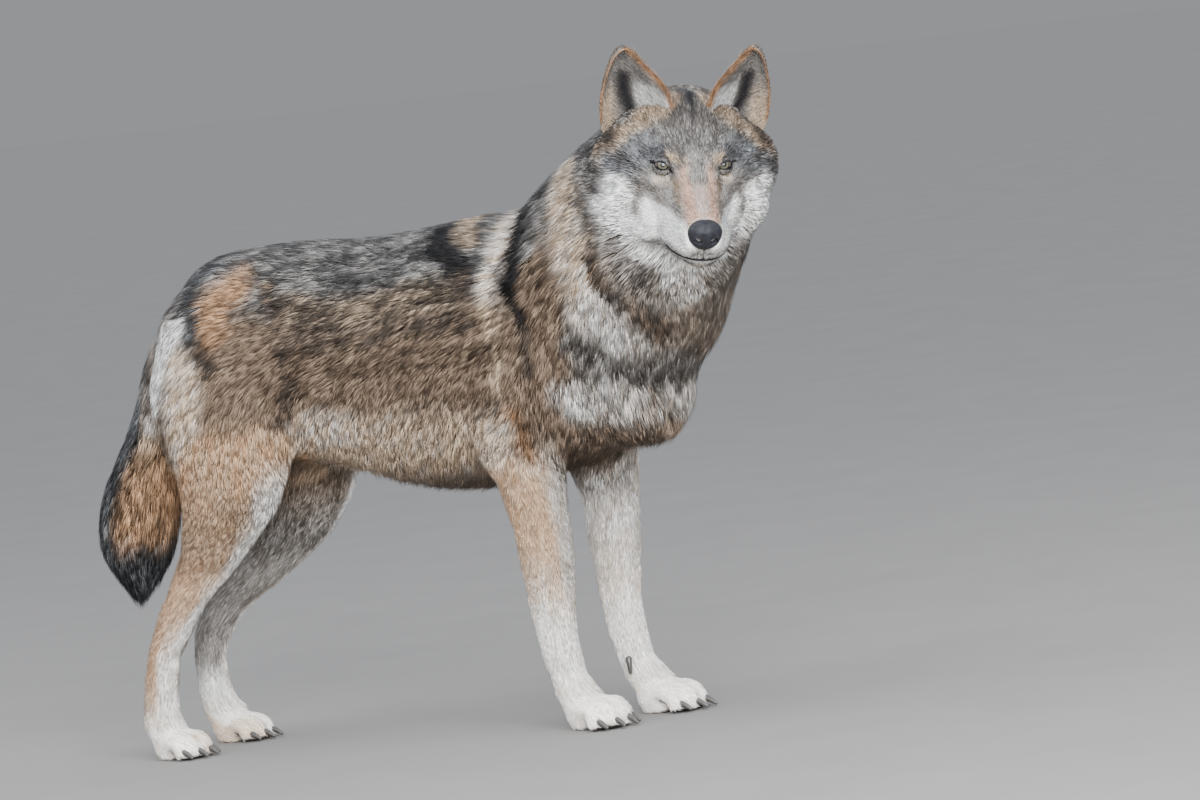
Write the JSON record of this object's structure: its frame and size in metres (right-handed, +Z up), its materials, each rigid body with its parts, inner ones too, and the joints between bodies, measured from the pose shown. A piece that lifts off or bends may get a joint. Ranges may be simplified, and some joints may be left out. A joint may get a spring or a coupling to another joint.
{
  "type": "timber wolf",
  "caption": "Life-size still model of a timber wolf in winter coat, standing on all four feet with its head turned to its right.",
  "frame": {"origin": "middle of the whole animal's footprint, on the floor it stands on", "axes": "+X along the body, from the rump to the chest; +Y to the animal's left; +Z up. The head looks down and to the animal's right"},
  "size_m": [1.2607, 0.4172, 1.0095],
  "materials": {
    "coat": "long grizzled winter fur, matt",
    "leg_coat": "short pale fur, matt",
    "claw_horn": "dark horn, semi-gloss",
    "nose_skin": "moist pebbled skin, satin",
    "eye": "wet, glossy"
  },
  "bodies": {
    "root": {"trunk": "coat", "neck": "coat", "head": "coat", "tail": "coat", "ear_left": "coat", "ear_right": "coat", "foreleg_left": "leg_coat", "foreleg_right": "leg_coat", "hindleg_left": "leg_coat", "hindleg_right": "leg_coat", "forepaw_left": "leg_coat", "forepaw_right": "leg_coat", "hindpaw_left": "leg_coat", "hindpaw_right": "leg_coat", "nose": "nose_skin", "eye_left": "eye", "eye_right": "eye", "claw_fore_left_1": "claw_horn", "claw_fore_left_2": "claw_horn", "claw_fore_left_3": "claw_horn", "claw_fore_left_4": "claw_horn", "claw_fore_right_1": "claw_horn", "claw_fore_right_2": "claw_horn", "claw_fore_right_3": "claw_horn", "claw_fore_right_4": "claw_horn", "claw_hind_left_1": "claw_horn", "claw_hind_left_2": "claw_horn", "claw_hind_left_3": "claw_horn", "claw_hind_left_4": "claw_horn", "claw_hind_right_1": "claw_horn", "claw_hind_right_2": "claw_horn", "claw_hind_right_3": "claw_horn", "claw_hind_right_4": "claw_horn", "dewclaw_fore_left": "claw_horn", "dewclaw_fore_right": "claw_horn"}
  },
  "joints": []
}
